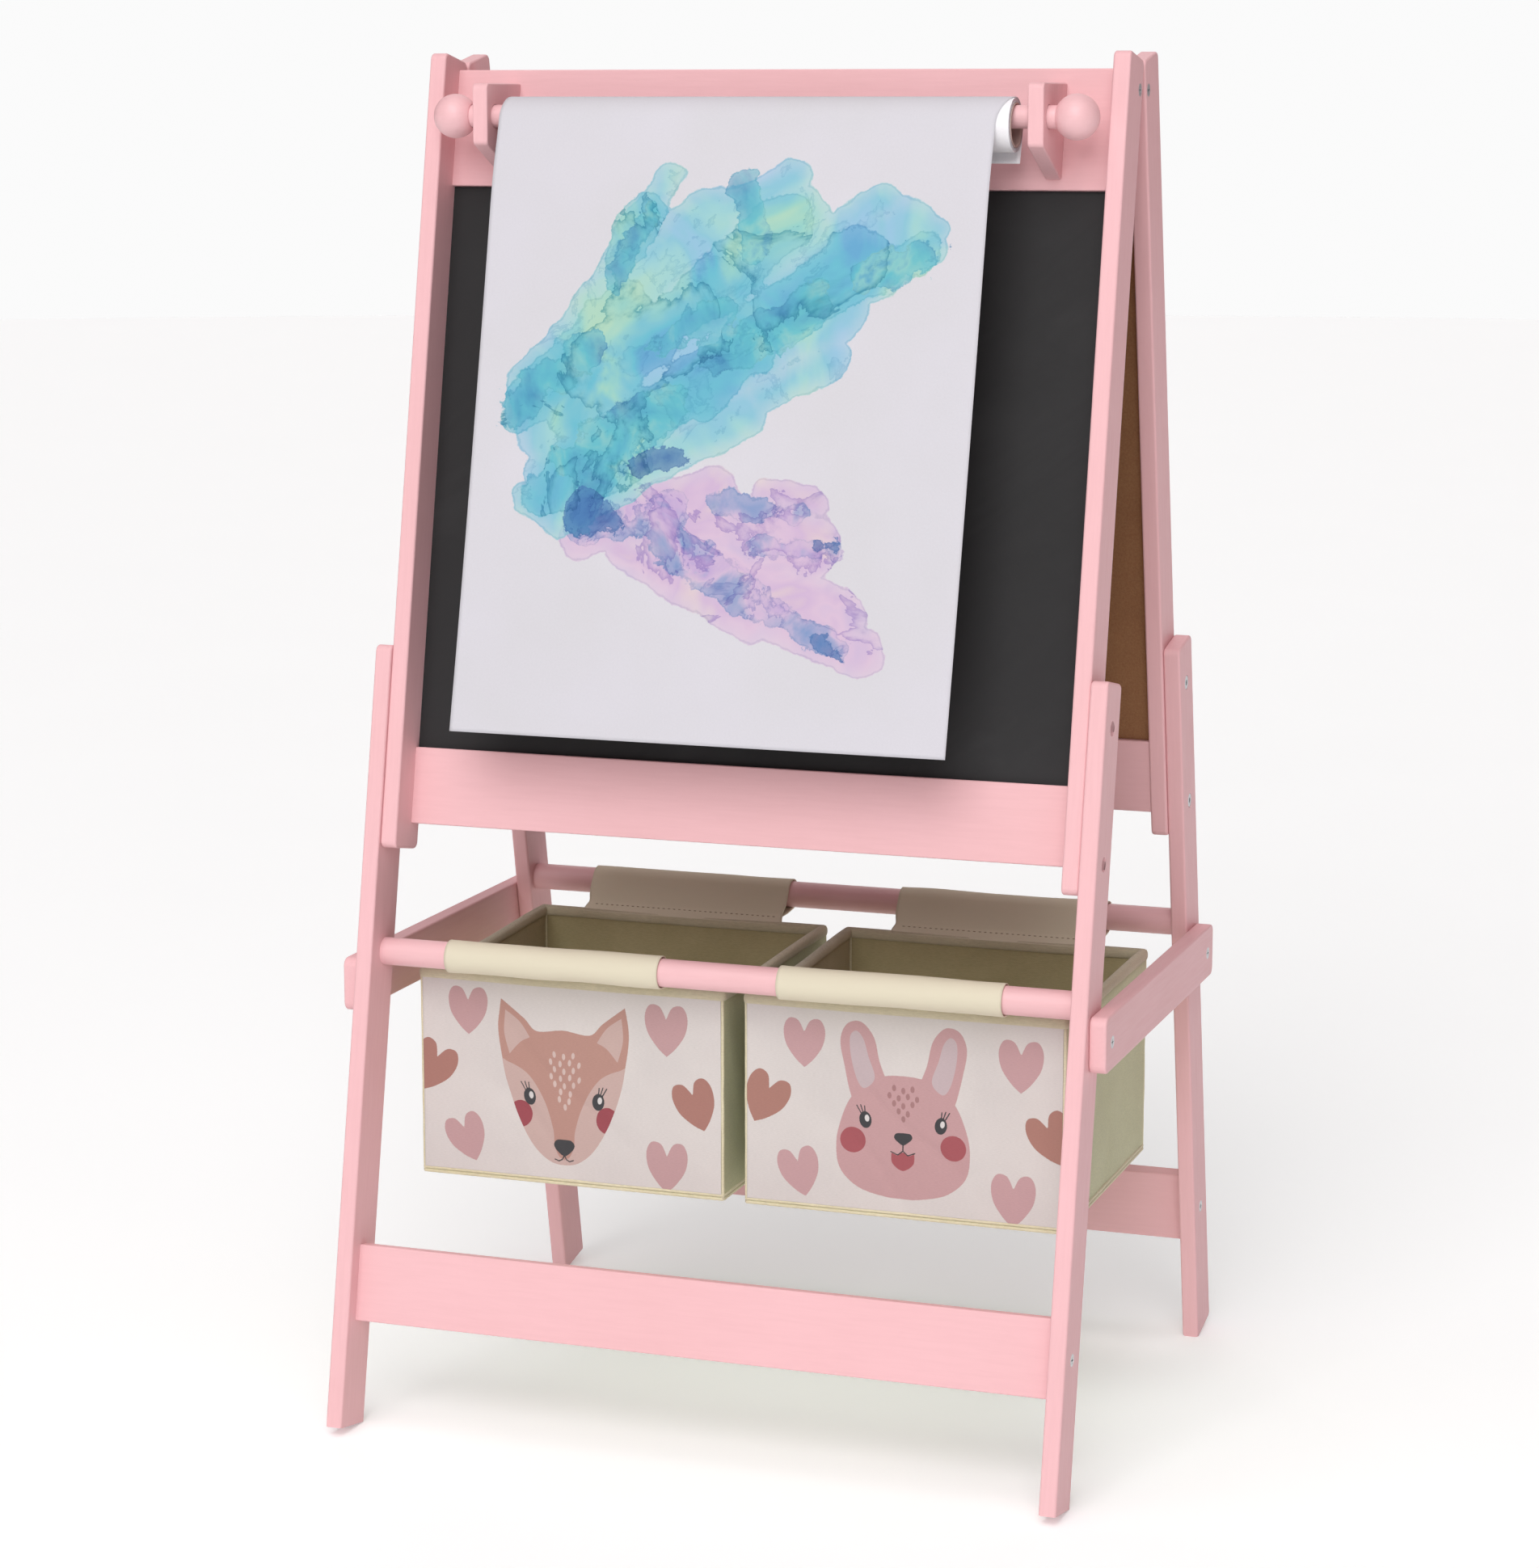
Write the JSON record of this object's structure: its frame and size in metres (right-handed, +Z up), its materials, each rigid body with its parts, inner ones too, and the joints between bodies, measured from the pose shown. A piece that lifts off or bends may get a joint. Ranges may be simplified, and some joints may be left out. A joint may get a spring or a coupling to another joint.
{
  "type": "kids easel",
  "caption": "Double-sided A-frame wooden children's easel with chalkboard, whiteboard, a paper roll on a dowel and hanging fabric storage bins.",
  "frame": {"origin": "on the floor, centred under the easel", "axes": "+X to the right seen from the chalkboard side, +Y from the chalkboard side towards the whiteboard side, +Z up"},
  "size_m": [0.552, 0.4518, 0.9539],
  "materials": {
    "pink_wood": "satin",
    "chalkboard": "matte",
    "whiteboard": "gloss",
    "beech_pin": "matte",
    "zinc_steel": "satin",
    "insert_brass": "satin",
    "core_card": "matte",
    "drawing_paper": "matte",
    "bin_fabric": "matte",
    "bin_card": "matte",
    "bin_lining": "matte",
    "sleeve_fabric": "matte"
  },
  "bodies": {
    "root": {"front_upright_left": "pink_wood", "front_upright_right": "pink_wood", "rear_upright_left": "pink_wood", "rear_upright_right": "pink_wood", "front_top_rail": "pink_wood", "front_lower_rail": "pink_wood", "rear_top_rail": "pink_wood", "rear_lower_rail": "pink_wood", "chalkboard": "chalkboard", "whiteboard": "whiteboard", "front_leg_left": "pink_wood", "front_leg_right": "pink_wood", "rear_leg_left": "pink_wood", "rear_leg_right": "pink_wood", "front_stretcher": "pink_wood", "rear_stretcher": "pink_wood", "front_rod": "pink_wood", "rear_rod": "pink_wood", "brace_left": "pink_wood", "brace_right": "pink_wood", "bracket_left": "pink_wood", "bracket_right": "pink_wood", "paper_sheet": "drawing_paper", "hinge_front_leaves": "zinc_steel", "hinge_rear_leaves": "zinc_steel", "hinge_pins": "zinc_steel", "hinge_screws": "zinc_steel", "rail_screws": "zinc_steel", "rail_pins": "beech_pin", "stretcher_screws": "zinc_steel", "stretcher_pins": "beech_pin", "brace_screws": "zinc_steel", "bracket_screws": "zinc_steel", "front_leg_bolts": "zinc_steel", "rear_leg_bolts": "zinc_steel", "bolt_inserts": "insert_brass"},
    "dowel": {"holder_dowel": "pink_wood", "knob_left": "pink_wood", "knob_right": "pink_wood"},
    "roll": {"paper_core": "core_card", "paper_roll": "drawing_paper"},
    "bin_left": {"bin_left_fabric": "bin_fabric", "bin_left_boards": "bin_card", "bin_left_lining": "bin_lining", "bin_left_sleeves": "sleeve_fabric"},
    "bin_right": {"bin_right_fabric": "bin_fabric", "bin_right_boards": "bin_card", "bin_right_lining": "bin_lining", "bin_right_sleeves": "sleeve_fabric"}
  },
  "joints": [
    {"name": "dowel_spin", "type": "hinge", "parent": "root", "child": "dowel", "pos_m": [0, -0.06273, 0.9108], "axis": [1, 0, 0], "continuous": true},
    {"name": "roll_spin", "type": "hinge", "parent": "root", "child": "roll", "pos_m": [0, -0.06273, 0.90545], "axis": [1, 0, 0], "continuous": true},
    {"name": "bin_left_slide", "type": "slide", "parent": "root", "child": "bin_left", "axis": [1, 0, 0], "range_m": [-0.014, 0.0065]},
    {"name": "bin_right_slide", "type": "slide", "parent": "root", "child": "bin_right", "axis": [1, 0, 0], "range_m": [-0.0065, 0.014]}
  ]
}
